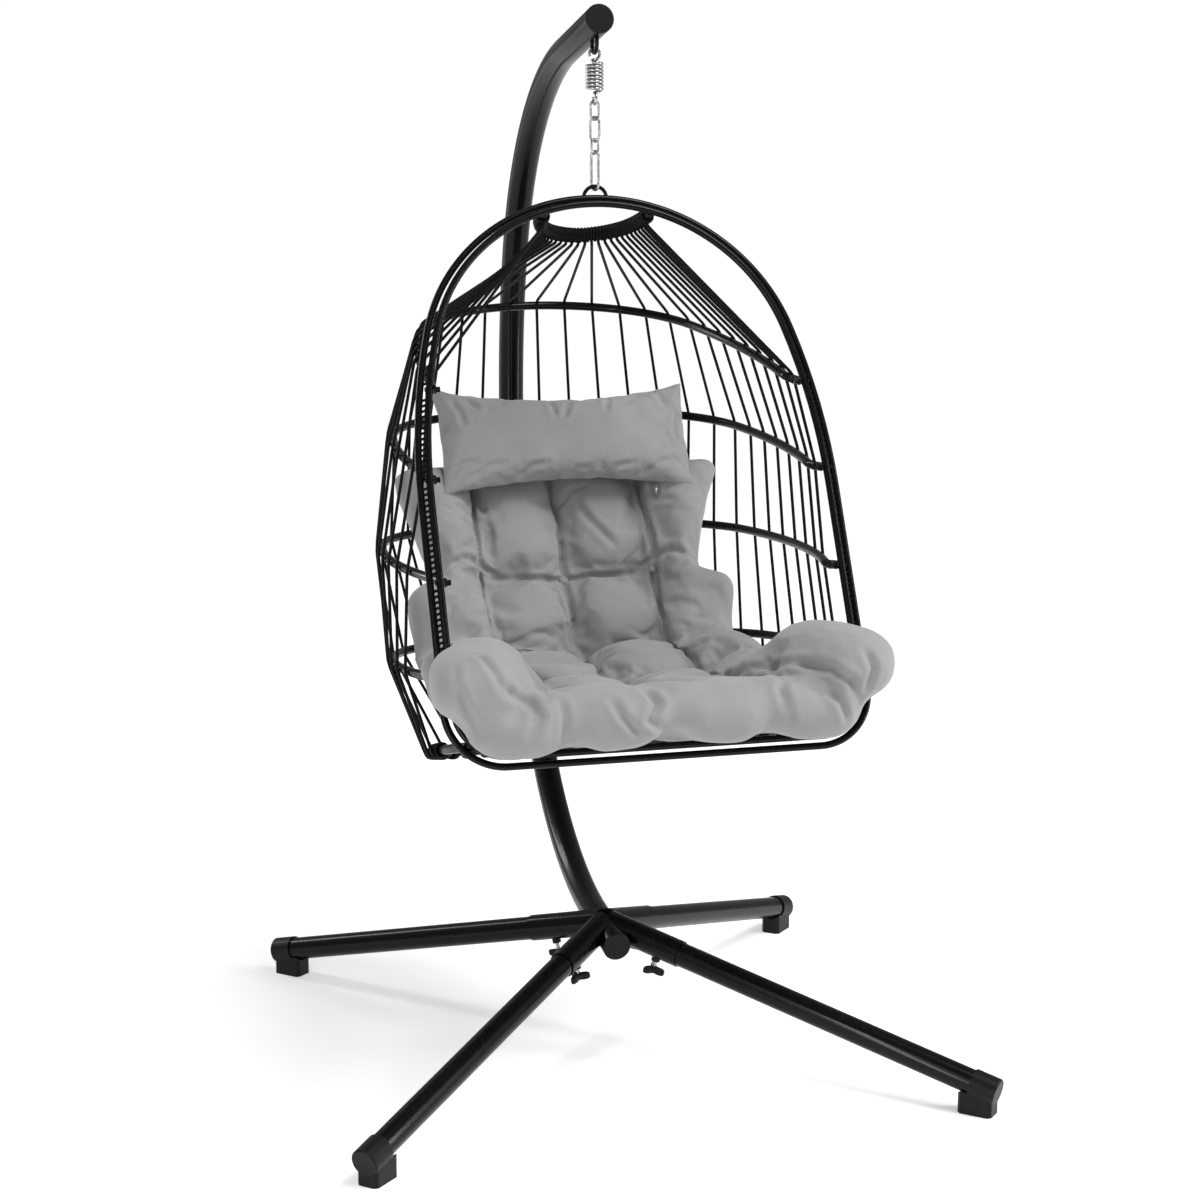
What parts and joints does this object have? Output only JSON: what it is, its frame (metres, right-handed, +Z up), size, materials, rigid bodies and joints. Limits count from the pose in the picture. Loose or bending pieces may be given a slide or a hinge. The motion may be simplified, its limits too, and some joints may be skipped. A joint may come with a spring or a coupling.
{
  "type": "hanging egg chair",
  "caption": "Hanging egg chair: tubular basket laced with cord, tufted cushion and head pillow, hung by a spring and links from a curved pole on sloping legs.",
  "frame": {"origin": "on the floor, under the middle of the chair's whole width and length", "axes": "+Z up, the chair faces -Y, +X to the sitter's left"},
  "size_m": [1.1726, 1.3961, 1.9646],
  "materials": {
    "black_metal": "gloss",
    "bright_steel": "polished",
    "black_bolts": "satin",
    "black_plastic": "matte",
    "black_cord": "matte",
    "grey_fabric": "matte"
  },
  "bodies": {
    "stand": {"lower_pole": "black_metal", "upper_pole": "black_metal", "pole_bolts": "black_bolts", "lower_pole_cap": "black_plastic", "upper_pole_cap": "black_plastic", "pole_eye": "black_metal", "front_right_socket": "black_metal", "front_right_leg": "black_metal", "front_right_foot": "black_plastic", "rear_right_socket": "black_metal", "rear_right_leg": "black_metal", "rear_right_foot": "black_plastic", "rear_left_socket": "black_metal", "rear_left_leg": "black_metal", "rear_left_foot": "black_plastic", "front_left_socket": "black_metal", "front_left_leg": "black_metal", "front_left_foot": "black_plastic"},
    "spring": {"spring": "bright_steel"},
    "long_link": {"long_link": "bright_steel"},
    "carabiner": {"carabiner": "bright_steel", "carabiner_rivet": "bright_steel"},
    "carabiner_gate": {"carabiner_gate": "bright_steel"},
    "basket": {"chain_link": "bright_steel", "snap_hook": "bright_steel", "snap_hook_rivet": "bright_steel", "basket_ring": "black_metal", "outer_hoop": "black_metal", "inner_hoop": "black_metal", "hoop_lacing": "black_cord", "upper_rib": "black_metal", "shoulder_rib": "black_metal", "middle_rib": "black_metal", "lower_rib": "black_metal", "rib_bolts": "black_bolts", "rib_nuts": "black_bolts", "top_band": "black_metal", "seat_ring": "black_metal", "top_band_knots": "black_cord", "seat_ring_knots": "black_cord", "left_cords": "black_cord", "back_cords": "black_cord", "right_cords": "black_cord", "seat_cords": "black_cord", "seat_cushion": "grey_fabric", "tuft_buttons": "grey_fabric", "head_pillow": "grey_fabric", "pillow_ties": "black_cord", "zip_pull": "bright_steel"},
    "snap_hook_gate": {"snap_hook_gate": "bright_steel"},
    "front_right_knob": {"front_right_knob": "black_plastic", "front_right_knob_screw": "bright_steel"},
    "rear_right_knob": {"rear_right_knob": "black_plastic", "rear_right_knob_screw": "bright_steel"},
    "rear_left_knob": {"rear_left_knob": "black_plastic", "rear_left_knob_screw": "bright_steel"},
    "front_left_knob": {"front_left_knob": "black_plastic", "front_left_knob_screw": "bright_steel"}
  },
  "joints": [
    {"name": "swing_sideways", "type": "hinge", "parent": "stand", "child": "spring", "pos_m": [0, -0.04979, 1.87941], "axis": [0, 1, 0], "range_deg": [-10, 10]},
    {"name": "spring_stretch", "type": "slide", "parent": "spring", "child": "long_link", "axis": [0, 0, -1], "range_m": [0, 0.012], "stiffness_N_per_m": 60000, "springref_m": -0.00384, "deforming": ["spring"]},
    {"name": "swing_fore_aft", "type": "hinge", "parent": "long_link", "child": "carabiner", "pos_m": [0, -0.04979, 1.75853], "axis": [1, 0, 0], "range_deg": [-20, 8]},
    {"name": "carabiner_gate_swing", "type": "hinge", "parent": "carabiner", "child": "carabiner_gate", "pos_m": [0.00575, -0.05974, 1.73553], "axis": [-0.866, -0.5, 0], "range_deg": [0, 25], "stiffness_Nm_per_rad": 0.01, "springref_deg": -28.65},
    {"name": "basket_turn", "type": "hinge", "parent": "carabiner", "child": "basket", "pos_m": [0, -0.04979, 1.7215], "axis": [0, 0, 1], "range_deg": [-40, 40]},
    {"name": "snap_hook_gate_swing", "type": "hinge", "parent": "basket", "child": "snap_hook_gate", "pos_m": [0.00462, -0.0578, 1.64895], "axis": [-0.866, -0.5, 0], "range_deg": [0, 18], "stiffness_Nm_per_rad": 0.01, "springref_deg": -28.65},
    {"name": "front_right_knob_turn", "type": "hinge", "parent": "stand", "child": "front_right_knob", "pos_m": [0.07715, -0.18893, 0.16852], "axis": [-0.1634, 0.1634, -0.9729], "range_deg": [0, 360]},
    {"name": "rear_right_knob_turn", "type": "hinge", "parent": "stand", "child": "rear_right_knob", "pos_m": [0.07715, -0.03464, 0.16852], "axis": [-0.1634, -0.1634, -0.9729], "range_deg": [0, 360]},
    {"name": "rear_left_knob_turn", "type": "hinge", "parent": "stand", "child": "rear_left_knob", "pos_m": [-0.07715, -0.03464, 0.16852], "axis": [0.1634, -0.1634, -0.9729], "range_deg": [0, 360]},
    {"name": "front_left_knob_turn", "type": "hinge", "parent": "stand", "child": "front_left_knob", "pos_m": [-0.07715, -0.18893, 0.16852], "axis": [0.1634, 0.1634, -0.9729], "range_deg": [0, 360]}
  ]
}
